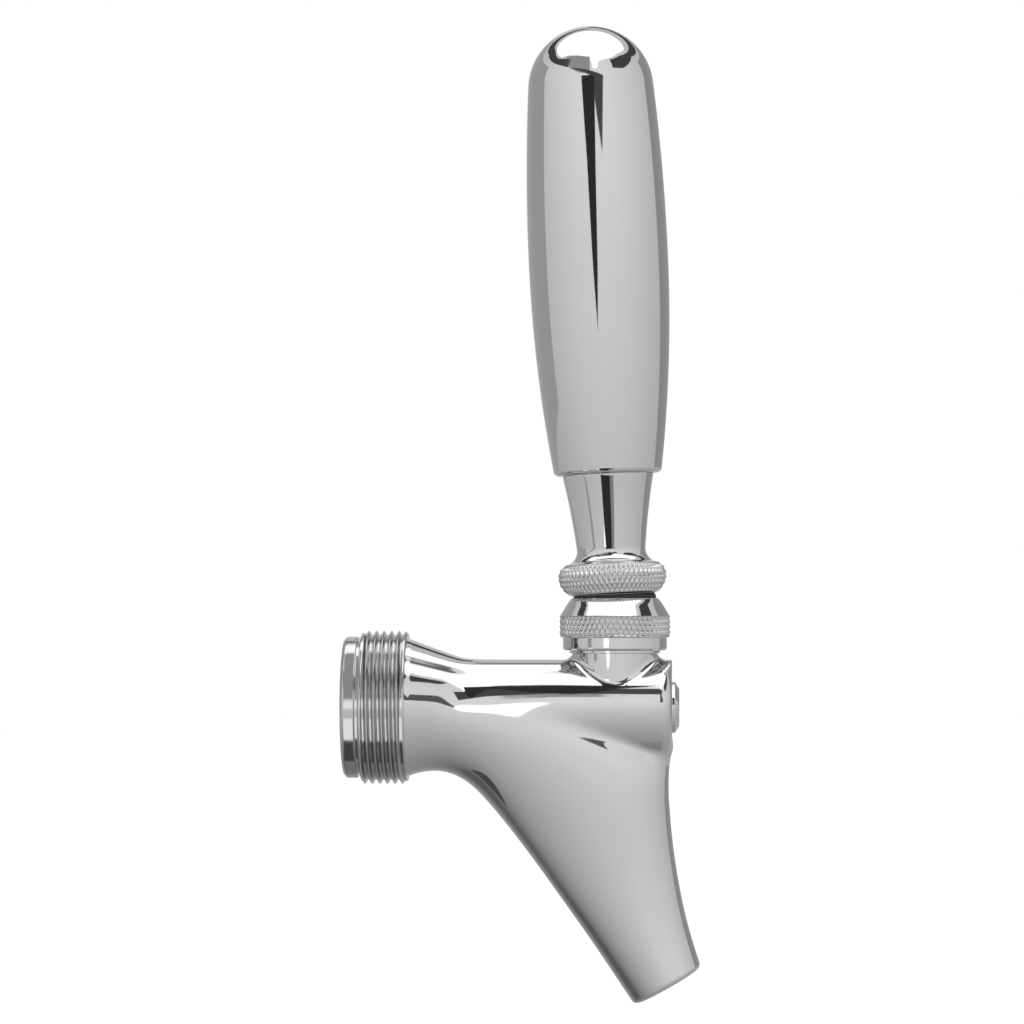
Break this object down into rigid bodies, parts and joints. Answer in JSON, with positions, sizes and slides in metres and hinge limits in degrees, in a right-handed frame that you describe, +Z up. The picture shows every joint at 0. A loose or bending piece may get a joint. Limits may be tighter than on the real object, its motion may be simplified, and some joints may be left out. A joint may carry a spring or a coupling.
{
  "type": "beverage faucet",
  "caption": "Chrome tap for drawn beer, with a bent tapering spout, a knurled bonnet and a slim bullet-shaped handle that works a sliding valve.",
  "frame": {"origin": "Centre of the rear face, where the shank's nose enters the socket.", "axes": "+X runs forward along the shank's axis towards the drinker, +Y is the tap's left side, +Z is up."},
  "size_m": [0.0664, 0.0286, 0.1825],
  "materials": {
    "body_chrome": "mirror-polished chrome plate",
    "handle_chrome": "mirror-polished chrome plate",
    "knurled_chrome": "polished chrome plate over a fine diamond knurl",
    "lever_steel": "turned stainless steel",
    "valve_brass": "turned brass",
    "black_rubber": "matt black rubber",
    "bearing_plastic": "natural nylon"
  },
  "bodies": {
    "tap": {"faucet_body": "body_chrome", "front_plug": "body_chrome", "coupling_gasket": "black_rubber", "shaft_bush": "bearing_plastic", "ball_seat": "bearing_plastic", "friction_ring": "bearing_plastic", "dust_ring": "black_rubber", "compression_bonnet": "knurled_chrome"},
    "lever": {"lever": "lever_steel", "lever_collar": "knurled_chrome", "handle": "handle_chrome", "handle_insert": "valve_brass"},
    "valve": {"valve_shaft": "valve_brass", "shaft_o_ring": "black_rubber", "seat_washer": "black_rubber", "washer_cup": "valve_brass", "shaft_nut": "valve_brass"}
  },
  "joints": [
    {"name": "lever_pivot", "type": "hinge", "parent": "tap", "child": "lever", "pos_m": [0.05055, 0, 0.014], "axis": [0, 1, 0], "range_deg": [0, 18]},
    {"name": "valve_slide", "type": "slide", "parent": "tap", "child": "valve", "axis": [1, 0, 0], "range_m": [-0.00437, 0.00001]}
  ],
  "couplings": [
    {"joint": "valve_slide", "follows": "lever_pivot", "m_per_rad": -0.013853}
  ]
}
